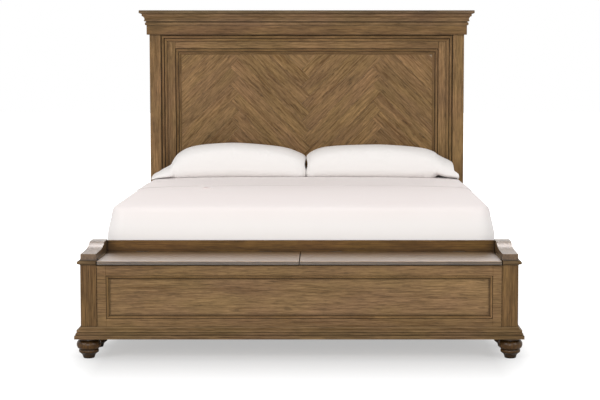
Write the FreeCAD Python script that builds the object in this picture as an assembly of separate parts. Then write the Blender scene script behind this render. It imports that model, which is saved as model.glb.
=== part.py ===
import FreeCAD, Part
import math
import os

# A king-size storage bed: a panelled headboard with a herringbone field, and a
# footboard that is a storage bench with two lift-up lids. All sizes are in millimetres.
# X runs across the bed, +Y from foot to head, +Z up. The origin is on the floor at the
# centre of the bed's box.

Vector = FreeCAD.Vector
along_x = Vector(1, 0, 0)
along_y = Vector(0, 1, 0)
up = Vector(0, 0, 1)

# Whole bed
bench_width = 2086.0            # over the outer faces of the bench posts
bed_length = 2392.0             # front of the bench posts to front of the headboard posts
headboard_depth = 70.0          # headboard posts, front to back

# Fits that every group shares
overrun = 30.0                  # how far a cutting body runs past what it cuts
arris = 1.2                     # eased edge of a board
rest_gap = 0.3                  # between a part that moves or yields and what it lies on
board_thickness = 18.0          # carcase boards
same_point = 0.001              # points nearer than this are one
rod_sides = 12                  # flats on spigots, knuckles and bores
turned_sides = 24               # flats on the turned feet

# Bench carcase
bench_depth = 363.0             # front of the posts to the back of the back board
post_width = 76.0
post_depth = 76.0
foot_height = 101.0             # floor to the underside of the carcase
rim_height = 451.0              # floor to the top of the front frame
frame_setback = 3.0             # front frame behind the post faces
frame_thickness = 22.0
bottom_rail_height = 94.0
top_rail_height = 49.0
stile_width = 45.0
stile_quirk = 4.0               # groove in a stile's face, beside the post
panel_thickness = 8.0
panel_setback = 12.0            # bench panel behind the face of its frame
panel_trim_width = 18.0
end_field_border = 48.0         # flat border of the bench end boards
end_field_bevel = 14.0
end_field_depth = 6.0

# Bench mouldings
base_height = 56.0
base_projection = 28.0
bead_height = 21.5
bead_projection = 14.0
base_outline_shares = [(0, 0), (1, 0), (1, 0.2), ((0.96, 0.3), (0.84, 0.33)), (0.72, 0.33), (0.72, 0.39),
                       (0.8, 0.39), ((0.79, 0.48), (0.66, 0.52)), (0.56, 0.56), (0.56, 0.6), (0.64, 0.6),
                       (0.64, 0.76), ((0.28, 0.82), (0.1, 1)), (0, 1)]
bead_outline_shares = [(0, 0), (0.12, 0), (0.12, 0.12), (0.34, 0.16), ((1, 0.52), (0.34, 0.96)),
                       (0.3, 1), (0, 1)]
trim_outline_shares = [(0, 0), (0, 0.7), (0.08, 0.7), ((0.3, 0.98), (0.52, 0.7)), (0.7, 0.46),
                       (0.7, 0.06), (0.88, 0.06), (0.88, 0.3), (1, 0.24), (1, 0)]

# Arms, swept up towards the mattress
arm_rise = 57.5                 # top of the bead to the crest at the back
arm_inset = 2.0                 # arm's outer face in from the outer face of its posts
arm_outline_shares = [(0, 0), (0, 0.48), ((0.004, 0.52), (0.017, 0.536)), (0.36, 0.56),
                      ((0.553, 0.666), (0.745, 0.985)), (0.765, 1), (1, 1), (1, 0)]
back_board_drop = 5.0           # back board below the crest of the arms

# Lids and their hinges
bumper_height = 2.7
bumper_size = 12.0
bumper_place_shares = [0.08, 0.92]
lid_thickness = 19.0
lid_overhang = 12.0             # nosing in front of the post faces
lid_side_gap = 5.0
lid_seam = 5.0                  # between the two lids
# The lid's front edge, in shares of its thickness: a bead, a quirk and a lip, from the bottom up
lid_edge_shares = [(0.33, 0), ((0, 0.31), (0.33, 0.62)), (0.42, 0.62), (0.42, 0.74), (0.18, 0.74),
                   (0.18, 0.92), ((0.2, 0.98), (0.26, 1))]
hinge_room = 10.5               # lid's back edge to the back board
knuckle_radius = 3.5
pin_radius = 1.5
pin_clearance = 0.15
leaf_bite = 0.5                 # how far a leaf wraps into its knuckles
leaf_height = 15.0
hinge_length = 62.0
knuckle_gap = 0.5
knuckle_count = 3
hinge_place_shares = [0.18, 0.82]

# Turned bun feet
foot_radius = 58.5
foot_side_inset = 30.5          # foot axis in from the side of the bench
foot_front_inset = 41.0         # foot axis in from the front of the bench
foot_rear_inset = 55.0          # foot axis in from the back of the bench
foot_outline_shares = [(0.42, 0), (0.5, 0.03), (0.52, 0.09), (0.57, 0.17), (0.7, 0.25), (0.79, 0.29),
                       (0.82, 0.36), (0.78, 0.43), (0.81, 0.46), (0.91, 0.5), (0.98, 0.58), (1, 0.665),
                       (0.98, 0.75), (0.92, 0.82), (0.84, 0.87), (0.77, 0.89), (0.77, 1)]
spigot_radius = 12.0
spigot_length = 40.0
spigot_clearance = 0.2

# Rails, slats and the centre beam
rail_thickness = 28.0
rail_bottom = 170.0
rail_height = 230.0
rail_set = 4.0                  # rail's inner face outside the inner face of the bench posts
cleat_size = 30.0
slat_thickness = 18.0
slat_width = 70.0
slat_count = 13
slat_drop = 25.0                # slat tops below the rail tops
slat_end_gap = 1.5
slat_margin = 40.0              # first and last slat in from bench and headboard
beam_width = 40.0
beam_height = 80.0
beam_leg_size = 44.0
beam_leg_place_shares = [0.2, 0.5, 0.8]
plate_thickness = 3.0           # steel hook plates, let into the rail ends
plate_height = 112.0
plate_reach = 40.0              # into the rail
plate_clearance = 0.2
hook_width = 5.0                # nose of the hook, behind the catch plate
hook_height = 30.0              # neck of the hook, which rests in the catch plate's slot
hook_drop = 9.0                 # how far the nose hangs below the neck
catch_width = 26.0
catch_border = 10.0             # of the catch plate above its slot and below the rail's plate

# Headboard
headboard_post_width = 70.0
headboard_post_top = 1584.0
headboard_frame_bottom = 200.0
headboard_frame_set = 16.0      # flat frame behind the post faces
headboard_frame_thickness = 34.0
headboard_bead_width = 44.0
headboard_bead_height = 13.0
headboard_stile_flat = 48.0     # flat of the stiles inside the bead
headboard_top_flat = 44.0       # flat of the top rail under the bead
headboard_trim_width = 38.0
headboard_trim_height = 20.0
cross_rail_bottom = 560.0
cross_rail_height = 120.0
backing_thickness = 14.0
lower_panel_thickness = 12.0
headboard_bead_shares = [(0, 0), (0, 0.06), (0.17, 0.06), (0.17, 0.68), ((0.32, 1), (0.47, 0.68)),
                         (0.47, 0.3), (0.57, 0.3), (0.57, 0.52), ((0.68, 0.78), (0.84, 0.5)), (0.92, 0.4),
                         (0.92, 0.14), (1, 0.14), (1, 0)]
headboard_trim_shares = [(0, 0), (0, 0.5), (0.1, 0.5), (0.1, 0.84), ((0.21, 1), (0.33, 0.84)),
                         (0.47, 0.76), (0.47, 0.42), (0.63, 0.42), (0.63, 0.62),
                         ((0.72, 0.72), (0.82, 0.56)), (0.86, 0.36), (1, 0.36), (1, 0)]

# Herringbone field
plank_length = 642.0
plank_width = 78.0
plank_thickness = 6.0
plank_joint = 0.9
herringbone_shift = 20.0        # centre valley of the pattern, right of the bed's centre
least_plank_share = 0.004       # smaller corner slips are left off

# Crown
frieze_height = 53.0
frieze_projection = 16.0
crown_height = 80.0
crown_projection = 50.0
crown_outline_shares = [(0, 0), (0.32, 0), (0.32, 0.07), ((0.46, 0.1), (0.5, 0.2)),
                        ((0.47, 0.28), (0.38, 0.31)), (0.38, 0.39), (0.6, 0.39), (0.6, 0.48), (0.55, 0.5),
                        ((0.61, 0.67), (0.8, 0.78)), (0.86, 0.78), (0.86, 0.87), ((0.9, 0.95), (1, 0.97)),
                        (1, 1), (0, 1)]
cap_thickness = 19.0
cap_projection = 60.0
cap_bevel = 3.0

# Bedding
mattress_thickness = 334.0
mattress_side_gap = 6.0
mattress_foot_gap = 8.0
mattress_head_gap = 6.0
mattress_corner = 75.0
corner_flats = 4
mattress_edge = 34.0            # how far the rounded top edge draws in
mattress_form_shares = [(0, 0.5), (0.08, 0), (0.52, 0), (0.8, 0.2), (0.94, 0.95), (0.962, 2.2),
                        (0.985, 5), (1, 9.6)]
sheet_thickness = 1.4
sheet_hem_height = 388.0
pillow_length = 820.0           # of the filling; the flanged end runs on past it
pillow_depth = 420.0
pillow_height = 188.0
pillow_gap = 14.0               # between the two pillows at the bed's centre
pillow_head_gap = 5.0
pillow_outline_shares = [(-0.74, 0), (-0.96, 0.16), (-1, 0.42), (-0.86, 0.74), (-0.52, 0.94), (-0.17, 1),
                         (0.17, 1), (0.52, 0.94), (0.86, 0.74), (1, 0.42), (0.96, 0.16), (0.74, 0)]
# Each section's place along the filling, then its shares of the depth and of the height. The
# left case's flange hangs down flat, and the right one's stands open in two steps
pillow_form_shares = [(0, 0.93, 0.4), (0.012, 0.96, 0.62), (0.05, 0.98, 0.78), (0.18, 0.975, 0.93),
                      (0.5, 0.955, 1), (0.8, 0.97, 0.95)]
left_flange_shares = [(0.93, 0.99, 0.79), (0.985, 1, 0.58), (1.03, 0.985, 0.31), (1.08, 0.965, 0.14),
                      (1.16, 0.95, 0.06)]
right_flange_shares = [(0.96, 1, 0.85), (1.03, 1, 0.72), (1.06, 0.99, 0.61), (1.12, 0.97, 0.5),
                       (1.125, 0.96, 0.3), (1.16, 0.95, 0.15)]

# Places worked out from the sizes above
overall_length = base_projection + bed_length + headboard_depth
front_y = base_projection - overall_length / 2
bench_back_y = front_y + bench_depth
head_y = front_y + bed_length
half_bench = bench_width / 2
half_inner = half_bench - post_width
rail_inner = half_inner + rail_set
rail_outer = rail_inner + rail_thickness
rail_middle = (rail_inner + rail_outer) / 2
rail_middle_z = rail_bottom + rail_height / 2
hook_nose = plate_thickness + plate_clearance
hook_reach = hook_nose + hook_width
half_headboard = rail_outer
frame_y = front_y + frame_setback
frame_back_y = frame_y + frame_thickness
back_board_y = bench_back_y - board_thickness
lid_bottom = rim_height + bumper_height + rest_gap
lid_top = lid_bottom + lid_thickness
arm_bottom = lid_bottom + bead_height
crest_height = arm_bottom + arm_rise
lid_back_y = back_board_y - hinge_room
hinge_y = (lid_back_y + back_board_y) / 2
hinge_z = lid_top - knuckle_radius
rail_top = rail_bottom + rail_height
slat_top = rail_top - slat_drop
slat_bottom = slat_top - slat_thickness
headboard_face_y = head_y + headboard_frame_set
headboard_frame_back_y = headboard_face_y + headboard_frame_thickness
backing_y = headboard_frame_back_y - backing_thickness
headboard_inner = half_headboard - headboard_post_width
headboard_opening = headboard_inner - headboard_bead_width - headboard_stile_flat
opening_top = headboard_post_top - headboard_bead_width - headboard_top_flat
opening_bottom = cross_rail_bottom + cross_rail_height
sheet_growth = rest_gap + sheet_thickness


def save(name, solids):
    """Write one named piece, or a group of alike pieces, to its own file."""
    pieces = solids if isinstance(solids, list) else [solids]
    shape = pieces[0] if len(pieces) == 1 else Part.makeCompound(pieces)
    if not shape.isValid() or min(solid.Volume for solid in shape.Solids) <= 0:
        print("fault in", name)
    shape.exportStep("parts/" + name + ".step")


def save_pair(name, solid):
    """Write a right-hand piece and its mirrored left-hand twin."""
    save(name + "_right", solid)
    save(name + "_left", mirrored(solid))


def mirrored(solid):
    return solid.mirror(Vector(0, 0, 0), along_x)


def block(x_low, x_high, y_low, y_high, z_low, z_high):
    corner = Vector(x_low, y_low, z_low)
    return Part.makeBox(x_high - x_low, y_high - y_low, z_high - z_low, corner)


def board(x_low, x_high, y_low, y_high, z_low, z_high):
    """A board with every arris eased."""
    plain = block(x_low, x_high, y_low, y_high, z_low, z_high)
    return plain.makeChamfer(arris, plain.Edges)


def outline(shares, width, height, place):
    """A closed wire of straight runs and arcs, from shares of a width and a height."""
    def point(pair):
        return place(pair[0] * width, pair[1] * height)

    edges = []
    here = point(shares[0])
    for step in shares[1:]:
        if isinstance(step[0], tuple):
            there = point(step[1])
            edges.append(Part.Arc(here, point(step[0]), there).toShape())
        else:
            there = point(step)
            edges.append(Part.LineSegment(here, there).toShape())
        here = there
    start = point(shares[0])
    if here.distanceToPoint(start) > same_point:
        edges.append(Part.LineSegment(here, start).toShape())
    return Part.Wire(edges)


def moulding(shares, width, height, start, length, along, across, out, mitres):
    """A run of moulding. Its width goes across and its height out. A mitre of 1 shortens
    the run as the width grows, -1 lengthens it and 0 leaves the end square."""
    spare = width + overrun

    def on_profile(w, h):
        return start - along * spare + across * w + out * h

    def in_plan(s, w):
        return start + along * s + across * w - out * overrun

    profile = Part.Face(outline(shares, width, height, on_profile))
    run = profile.extrude(along * (length + 2 * spare))
    first, last = mitres
    low = -overrun
    high = width + overrun
    corners = [in_plan(first * low, low), in_plan(first * high, high)]
    corners += [in_plan(length - last * high, high), in_plan(length - last * low, low)]
    plan = Part.Face(Part.makePolygon(corners + [corners[0]]))
    prism = plan.extrude(out * (height + 2 * overrun))
    return run.common(prism).Solids[0]


def frame_moulding(shares, width, height, half_x, z_low, z_high, y_face, sides):
    """Mitred moulding planted on an upright face, along the named sides of an opening."""
    runs = []
    out = along_y * -1
    lower_mitre = 1 if "bottom" in sides else 0
    tall = z_high - z_low
    if "uprights" in sides:
        for start_x, inward in ((-half_x, along_x), (half_x, along_x * -1)):
            start = Vector(start_x, y_face, z_low)
            runs.append(moulding(shares, width, height, start, tall, up, inward, out, (lower_mitre, 1)))
    if "top" in sides:
        start = Vector(-half_x, y_face, z_high)
        runs.append(moulding(shares, width, height, start, 2 * half_x, along_x, up * -1, out, (1, 1)))
    if "bottom" in sides:
        start = Vector(-half_x, y_face, z_low)
        runs.append(moulding(shares, width, height, start, 2 * half_x, along_x, up, out, (1, 1)))
    return runs


def rod(radius, start, direction, length):
    """A small round bar or bore, cut in flats to keep its facets few."""
    first = along_y if direction == along_x else along_x
    second = direction.cross(first)
    points = []
    for step in range(rod_sides):
        turn = 2 * math.pi * (step + 0.5) / rod_sides
        points.append(start + first * (radius * math.cos(turn)) + second * (radius * math.sin(turn)))
    return Part.Face(Part.makePolygon(points + [points[0]])).extrude(direction * length)


def loft(rings):
    """A closed ruled loft through rings of points."""
    return Part.makeLoft([Part.makePolygon(ring + [ring[0]]) for ring in rings], True, True)


def turned_in_flats(shares, radius, height):
    """A turned form in flat facets, from shares of its radius and height."""
    rings = []
    for radius_share, height_share in shares:
        ring = []
        for step in range(turned_sides):
            turn = 2 * math.pi * step / turned_sides
            reach = radius_share * radius
            ring.append(Vector(reach * math.cos(turn), reach * math.sin(turn), height_share * height))
        rings.append(ring)
    outlines = [rings[0], rings[-1]]
    for low, high in zip(rings, rings[1:]):
        for step in range(turned_sides):
            outlines.append([low[step - 1], low[step], high[step], high[step - 1]])
    faces = [Part.Face(Part.makePolygon(points + [points[0]])) for points in outlines]
    solid = Part.Solid(Part.Shell(faces))
    return solid if solid.Volume > 0 else solid.reversed()


# Bench

def bench_posts():
    """Square corner posts, bored for the feet. The back pair also takes the catch plates."""
    foot_x = half_bench - foot_side_inset
    bore_depth = spigot_length + spigot_clearance
    bore_radius = spigot_radius + spigot_clearance
    front = board(half_inner, half_bench, front_y, front_y + post_depth, foot_height, arm_bottom)
    foot_spot = Vector(foot_x, front_y + foot_front_inset, foot_height)
    front = front.cut(rod(bore_radius, foot_spot, up, bore_depth))
    save_pair("bench_post_front", front)
    rear_y = bench_back_y - post_depth
    rear = board(half_inner, half_bench, rear_y, bench_back_y, foot_height, arm_bottom)
    foot_spot = Vector(foot_x, bench_back_y - foot_rear_inset, foot_height)
    rear = rear.cut(rod(bore_radius, foot_spot, up, bore_depth))
    rear = rear.cut(catch_parts(bench_back_y, -1)[1])
    save_pair("bench_post_rear", rear)


def bench_ends():
    """Outer end boards with a sunk, bevelled field, and the inner liners of the box."""
    y_low = front_y + post_depth
    y_high = bench_back_y - post_depth
    face = half_bench - frame_setback
    inner = face - frame_thickness
    end = board(inner, face, y_low, y_high, foot_height, arm_bottom)
    z_low = foot_height + bottom_rail_height
    z_high = rim_height - top_rail_height

    def rectangle(x, shrink):
        low = y_low + end_field_border + shrink
        high = y_high - end_field_border - shrink
        points = [Vector(x, low, z_low + shrink), Vector(x, high, z_low + shrink)]
        points += [Vector(x, high, z_high - shrink), Vector(x, low, z_high - shrink)]
        return Part.makePolygon(points + [points[0]])

    bevelled = [rectangle(face, 0), rectangle(face - end_field_depth, end_field_bevel)]
    field = Part.makeLoft(bevelled, True, True)
    save_pair("bench_end", end.cut(field))
    liner = board(half_inner, half_inner + board_thickness, y_low, y_high, foot_height, arm_bottom)
    save("bench_end_liners", [liner, mirrored(liner)])


def bench_front():
    """Front frame with its stiles running through, its sunk panel and the panel's trim."""
    half_frame = half_inner - stile_width
    stile = board(half_frame, half_inner, frame_y, frame_back_y, foot_height, rim_height)
    quirk = block(half_inner - stile_quirk, half_inner + overrun, frame_y - overrun, frame_y + stile_quirk,
                  foot_height - overrun, rim_height + overrun)
    save_pair("bench_stile", stile.cut(quirk))
    bottom_top = foot_height + bottom_rail_height
    top_bottom = rim_height - top_rail_height
    save("bench_bottom_rail", board(-half_frame, half_frame, frame_y, frame_back_y, foot_height, bottom_top))
    save("bench_top_rail", board(-half_frame, half_frame, frame_y, frame_back_y, top_bottom, rim_height))
    panel_y = frame_y + panel_setback
    panel = block(-half_frame, half_frame, panel_y, panel_y + panel_thickness, bottom_top, top_bottom)
    save("bench_front_panel", panel)
    sides = ["uprights", "top", "bottom"]
    trim = frame_moulding(trim_outline_shares, panel_trim_width, panel_setback, half_frame,
                          bottom_top, top_bottom, panel_y, sides)
    save("bench_panel_trim", trim)


def bench_inside():
    """Bottom, back board and centre divider of the storage box."""
    floor_top = foot_height + board_thickness
    save("bench_bottom", board(-half_inner, half_inner, frame_back_y, back_board_y, foot_height, floor_top))
    back_top = crest_height - back_board_drop
    save("bench_back", board(-half_inner, half_inner, back_board_y, bench_back_y, foot_height, back_top))
    half_board = board_thickness / 2
    save("bench_divider", board(-half_board, half_board, frame_back_y, back_board_y, floor_top, rim_height))


def bench_mouldings():
    """Stepped base moulding and the bead at lid height, both mitred at the front corners."""
    start = Vector(-half_bench, front_y, foot_height)
    outwards = along_y * -1
    front = moulding(base_outline_shares, base_projection, base_height, start, bench_width,
                     along_x, outwards, up, (-1, -1))
    save("base_moulding_front", front)
    start = Vector(half_bench, front_y, foot_height)
    side = moulding(base_outline_shares, base_projection, base_height, start, bench_depth,
                    along_y, along_x, up, (-1, 0))
    save_pair("base_moulding_side", side)
    start = Vector(half_inner, front_y, lid_bottom)
    bead_front = moulding(bead_outline_shares, bead_projection, bead_height, start, post_width,
                          along_x, outwards, up, (0, -1))
    start = Vector(half_bench, front_y, lid_bottom)
    bead_side = moulding(bead_outline_shares, bead_projection, bead_height, start, bench_depth,
                         along_y, along_x, up, (-1, 0))
    save("bench_bead", [bead_front, bead_side, mirrored(bead_front), mirrored(bead_side)])


def bench_arms():
    """Low arms, nearly level in front and swept up to a crest at the back."""
    def place(d, h):
        return Vector(half_inner, front_y + d, arm_bottom + h)

    profile = Part.Face(outline(arm_outline_shares, bench_depth, arm_rise, place))
    save_pair("bench_arm", profile.extrude(along_x * (post_width - arm_inset)))


def bench_lids():
    """Two lids with a moulded front edge, and the bumpers they come down on."""
    half_seam = lid_seam / 2
    lid_outer = half_inner - lid_side_gap
    tip_y = front_y - lid_overhang

    def place(d, h):
        return Vector(half_seam, tip_y + d, lid_bottom + h)

    depth_share = (lid_back_y - tip_y) / lid_thickness
    shares = lid_edge_shares + [(depth_share, 1), (depth_share, 0)]
    profile = Part.Face(outline(shares, lid_thickness, lid_thickness, place))
    save_pair("lid", profile.extrude(along_x * (lid_outer - half_seam)))
    bumpers = []
    bumper_y = frame_y + frame_thickness / 2
    for side in (-1, 1):
        for share in bumper_place_shares:
            place_x = side * (half_seam + share * (lid_outer - half_seam))
            bumpers.append(block(place_x - bumper_size / 2, place_x + bumper_size / 2,
                                 bumper_y - bumper_size / 2, bumper_y + bumper_size / 2,
                                 rim_height, rim_height + bumper_height))
    save("lid_bumpers", bumpers)


def knuckle_spans():
    """Start and length of each knuckle along a hinge."""
    pitch = hinge_length / knuckle_count
    return [(index * pitch + knuckle_gap / 2, pitch - knuckle_gap) for index in range(knuckle_count)]


def hinge_leaf(hinge_x, plate_y_low, plate_y_high, own):
    """One leaf with every other knuckle, notched round the knuckles of the other leaf."""
    shape = block(hinge_x, hinge_x + hinge_length, plate_y_low, plate_y_high, hinge_z - leaf_height, hinge_z)
    for index, (offset, length) in enumerate(knuckle_spans()):
        start = Vector(hinge_x + offset, hinge_y, hinge_z)
        if index % 2 == own:
            shape = shape.fuse(rod(knuckle_radius, start, along_x, length))
        else:
            wide = start - along_x * knuckle_gap
            shape = shape.cut(rod(knuckle_radius + knuckle_gap, wide, along_x, length + 2 * knuckle_gap))
    bore_start = Vector(hinge_x - overrun, hinge_y, hinge_z)
    bore = rod(pin_radius + pin_clearance, bore_start, along_x, hinge_length + 2 * overrun)
    return shape.cut(bore).removeSplitter()


def bench_hinges():
    """Two butt hinges to each lid: fixed leaves, pins, and leaves that swing with the lid."""
    half_seam = lid_seam / 2
    lid_length = half_inner - lid_side_gap - half_seam
    fixed = []
    pins = []
    moving = []
    for share in hinge_place_shares:
        hinge_x = half_seam + share * lid_length - hinge_length / 2
        moving.append(hinge_leaf(hinge_x, lid_back_y, hinge_y - knuckle_radius + leaf_bite, 1))
        fixed_leaf = hinge_leaf(hinge_x, hinge_y + knuckle_radius - leaf_bite, back_board_y, 0)
        fixed += [fixed_leaf, mirrored(fixed_leaf)]
        pin = Part.makeCylinder(pin_radius, hinge_length, Vector(hinge_x, hinge_y, hinge_z), along_x)
        pins += [pin, mirrored(pin)]
    save("hinge_fixed_leaves", fixed)
    save("hinge_pins", pins)
    save("hinge_lid_leaves_right", moving)
    save("hinge_lid_leaves_left", [mirrored(leaf) for leaf in moving])


def bun_feet():
    """Turned feet, each with a spigot that goes up into its post."""
    bun = turned_in_flats(foot_outline_shares, foot_radius, foot_height)
    spigot = rod(spigot_radius, Vector(0, 0, foot_height), up, spigot_length)
    foot = bun.fuse(spigot).removeSplitter()
    foot_x = half_bench - foot_side_inset
    for end, foot_y in (("front", front_y + foot_front_inset), ("rear", bench_back_y - foot_rear_inset)):
        placed = foot.copy()
        placed.translate(Vector(foot_x, foot_y, 0))
        save_pair("bun_foot_" + end, placed)


# Rails, slats and beam

def hook_outline():
    """Hook plate seen from its side: first value along the rail, second up from mid height."""
    half = plate_height / 2
    neck_bottom = half - hook_height
    nose_bottom = neck_bottom - hook_drop
    return [(-plate_reach, -half), (0, -half), (0, neck_bottom), (hook_nose, neck_bottom),
            (hook_nose, nose_bottom), (hook_reach, nose_bottom), (hook_reach, half), (-plate_reach, half)]


def hook_plate(end_y, direction):
    """One hook plate in the middle of a rail, its hook pointing along direction."""
    x = rail_middle - plate_thickness / 2
    points = [Vector(x, end_y + direction * reach, rail_middle_z + rise) for reach, rise in hook_outline()]
    face = Part.Face(Part.makePolygon(points + [points[0]]))
    return face.extrude(along_x * plate_thickness)


def upright_slot(y_one, y_two, z_low, z_high):
    """Room for a hook plate, in the middle of the rail's thickness."""
    half = plate_thickness / 2 + plate_clearance
    low_y, high_y = sorted((y_one, y_two))
    return block(rail_middle - half, rail_middle + half, low_y, high_y, z_low, z_high)


def plate_slot(end_y, direction):
    """Saw kerf in the rail's end that holds a hook plate."""
    tall = plate_height / 2 + plate_clearance
    return upright_slot(end_y + direction * overrun, end_y - direction * (plate_reach + plate_clearance),
                        rail_middle_z - tall, rail_middle_z + tall)


def catch_parts(face_y, direction):
    """Catch plate flush in a post, and the room that the post gives it and the hook. The
    hook goes in raised by its drop, then comes down until its neck rests in the slot."""
    half = plate_height / 2
    slot_bottom = rail_middle_z + half - hook_height
    slot_top = rail_middle_z + half + hook_drop + plate_clearance
    half_plate = catch_width / 2
    low_y, high_y = sorted((face_y, face_y + direction * plate_thickness))
    plate = block(rail_middle - half_plate, rail_middle + half_plate, low_y, high_y,
                  rail_middle_z - half - catch_border, slot_top + catch_border)
    through = upright_slot(face_y - direction * overrun, face_y + direction * overrun, slot_bottom, slot_top)
    room = upright_slot(face_y, face_y + direction * (hook_reach + plate_clearance),
                        slot_bottom - hook_drop - plate_clearance, slot_top)
    return plate.cut(through), plate.fuse(room)


def bed_rails():
    """Side rails hooked to bench and headboard, with a cleat under the slats."""
    rail = board(rail_inner, rail_outer, bench_back_y, head_y, rail_bottom, rail_top)
    hooks = []
    catches = []
    for end_y, direction in ((bench_back_y, -1), (head_y, 1)):
        rail = rail.cut(plate_slot(end_y, direction))
        hook = hook_plate(end_y, direction)
        catch = catch_parts(end_y, direction)[0]
        hooks += [hook, mirrored(hook)]
        catches += [catch, mirrored(catch)]
    save_pair("side_rail", rail)
    save("rail_hook_plates", hooks)
    save("post_catch_plates", catches)
    cleat = board(rail_inner - cleat_size, rail_inner, bench_back_y + slat_margin,
                  head_y - slat_margin, slat_bottom - cleat_size, slat_bottom)
    save("rail_cleats", [cleat, mirrored(cleat)])


def slats_and_beam():
    """Slats over the cleats and the centre beam, which stands on square legs."""
    half_slat = rail_inner - slat_end_gap
    first = bench_back_y + slat_margin
    last = head_y - slat_margin - slat_width
    slats = []
    for index in range(slat_count):
        slat_y = first + (last - first) * index / (slat_count - 1)
        slats.append(block(-half_slat, half_slat, slat_y, slat_y + slat_width, slat_bottom, slat_top))
    save("slats", slats)
    half_beam = beam_width / 2
    beam_bottom = slat_bottom - beam_height
    save("centre_beam", board(-half_beam, half_beam, bench_back_y, head_y, beam_bottom, slat_bottom))
    half_leg = beam_leg_size / 2
    legs = []
    for share in beam_leg_place_shares:
        leg_y = bench_back_y + share * (head_y - bench_back_y)
        legs.append(board(-half_leg, half_leg, leg_y - half_leg, leg_y + half_leg, 0, beam_bottom))
    save("beam_legs", legs)


# Headboard

def headboard_frame():
    """Posts to the floor, stiles that run through, rails between them, and the boards."""
    head_back_y = head_y + headboard_depth
    post = board(headboard_inner, half_headboard, head_y, head_back_y, 0, headboard_post_top)
    post = post.cut(catch_parts(head_y, 1)[1])
    save_pair("headboard_post", post)
    low = headboard_frame_bottom
    stile = board(headboard_opening, headboard_inner, headboard_face_y, headboard_frame_back_y,
                  low, headboard_post_top)
    save_pair("headboard_stile", stile)
    top_rail = board(-headboard_opening, headboard_opening, headboard_face_y, headboard_frame_back_y,
                     opening_top, headboard_post_top)
    save("headboard_top_rail", top_rail)
    cross_rail = board(-headboard_opening, headboard_opening, headboard_face_y, headboard_frame_back_y,
                       cross_rail_bottom, opening_bottom)
    save("headboard_cross_rail", cross_rail)
    lower_panel = block(-headboard_opening, headboard_opening,
                        headboard_frame_back_y - lower_panel_thickness, headboard_frame_back_y,
                        low, cross_rail_bottom)
    save("headboard_lower_panel", lower_panel)
    backing = block(-headboard_opening, headboard_opening, backing_y, headboard_frame_back_y,
                    opening_bottom, opening_top)
    save("headboard_backing", backing)


def headboard_mouldings():
    """The double bead round the frame and the moulding round the herringbone field."""
    bead = frame_moulding(headboard_bead_shares, headboard_bead_width, headboard_bead_height,
                          headboard_inner, cross_rail_bottom, headboard_post_top, headboard_face_y,
                          ["uprights", "top"])
    save("headboard_bead", bead)
    trim = frame_moulding(headboard_trim_shares, headboard_trim_width, headboard_trim_height,
                          headboard_opening, opening_bottom, opening_top, backing_y,
                          ["uprights", "top", "bottom"])
    save("headboard_panel_trim", trim)


def herringbone():
    """Square-ended planks laid at 45 degrees, each end butting the side of the next plank.
    In axes that run along the two plank directions, a rising plank starts at u, v and a
    falling one starts one plank length further along u and hangs down along v."""
    half_field = headboard_opening - headboard_trim_width
    z_low = opening_bottom + headboard_trim_width
    z_high = opening_top - headboard_trim_width
    face_y = backing_y - plank_thickness
    window = block(-half_field, half_field, face_y - overrun, backing_y, z_low, z_high)
    diagonal = math.sqrt(2)
    middle_z = (z_low + z_high) / 2
    least_volume = least_plank_share * plank_length * plank_width * plank_thickness

    def plank(u_low, u_high, v_low, v_high):
        gap = plank_joint / 2
        u_low, u_high, v_low, v_high = u_low + gap, u_high - gap, v_low + gap, v_high - gap
        spots = [(u_low, v_low), (u_high, v_low), (u_high, v_high), (u_low, v_high)]
        corners = [Vector(herringbone_shift + (u - v) / diagonal, face_y, middle_z + (u + v) / diagonal)
                   for u, v in spots]
        face = Part.Face(Part.makePolygon(corners + [corners[0]]))
        return face.extrude(along_y * plank_thickness)

    def laid(planks):
        kept = []
        for piece in planks:
            box = piece.BoundBox
            beside = box.XMin >= half_field or box.XMax <= -half_field
            above_or_below = box.ZMin >= z_high or box.ZMax <= z_low
            if beside or above_or_below:
                continue
            trimmed = piece.common(window)
            kept += [solid for solid in trimmed.Solids if solid.Volume > least_volume]
        return kept

    columns = math.ceil(half_field / (diagonal * plank_length)) + 1
    rows = math.ceil(((z_high - z_low) / 2 + plank_length) / (diagonal * plank_width)) + 1
    rising = []
    falling = []
    for column in range(-columns, columns + 1):
        for row in range(-rows, rows + 1):
            u = row * plank_width + column * plank_length
            v = row * plank_width - column * plank_length
            rising.append(plank(u, u + plank_length, v, v + plank_width))
            over = u + plank_length
            falling.append(plank(over, over + plank_width, v + plank_width - plank_length, v + plank_width))
    save("herringbone_rising", laid(rising))
    save("herringbone_falling", laid(falling))


def crown():
    """Rebated frieze beam, the crown moulding mitred round it, and the cap board."""
    frieze_top = headboard_post_top + frieze_height
    crown_top = frieze_top + crown_height
    head_back_y = head_y + headboard_depth
    half_frieze = half_headboard + frieze_projection
    lower = block(-half_frieze, half_frieze, head_y - frieze_projection, head_back_y,
                  headboard_post_top, frieze_top)
    upper = block(-half_headboard, half_headboard, head_y, head_back_y, frieze_top, crown_top)
    save("frieze_beam", lower.fuse(upper).removeSplitter())
    outwards = along_y * -1
    start = Vector(-half_headboard, head_y, frieze_top)
    front = moulding(crown_outline_shares, crown_projection, crown_height, start,
                     2 * half_headboard, along_x, outwards, up, (-1, -1))
    start = Vector(half_headboard, head_y, frieze_top)
    side = moulding(crown_outline_shares, crown_projection, crown_height, start,
                    headboard_depth, along_y, along_x, up, (-1, 0))
    save("crown_moulding", [front, side, mirrored(side)])
    half_cap = half_headboard + cap_projection
    cap_top = crown_top + cap_thickness
    cap = block(-half_cap, half_cap, head_y - cap_projection, head_back_y, crown_top, cap_top)
    save("crown_cap", cap.makeChamfer(cap_bevel, outer_edges(cap, head_back_y)))


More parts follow.
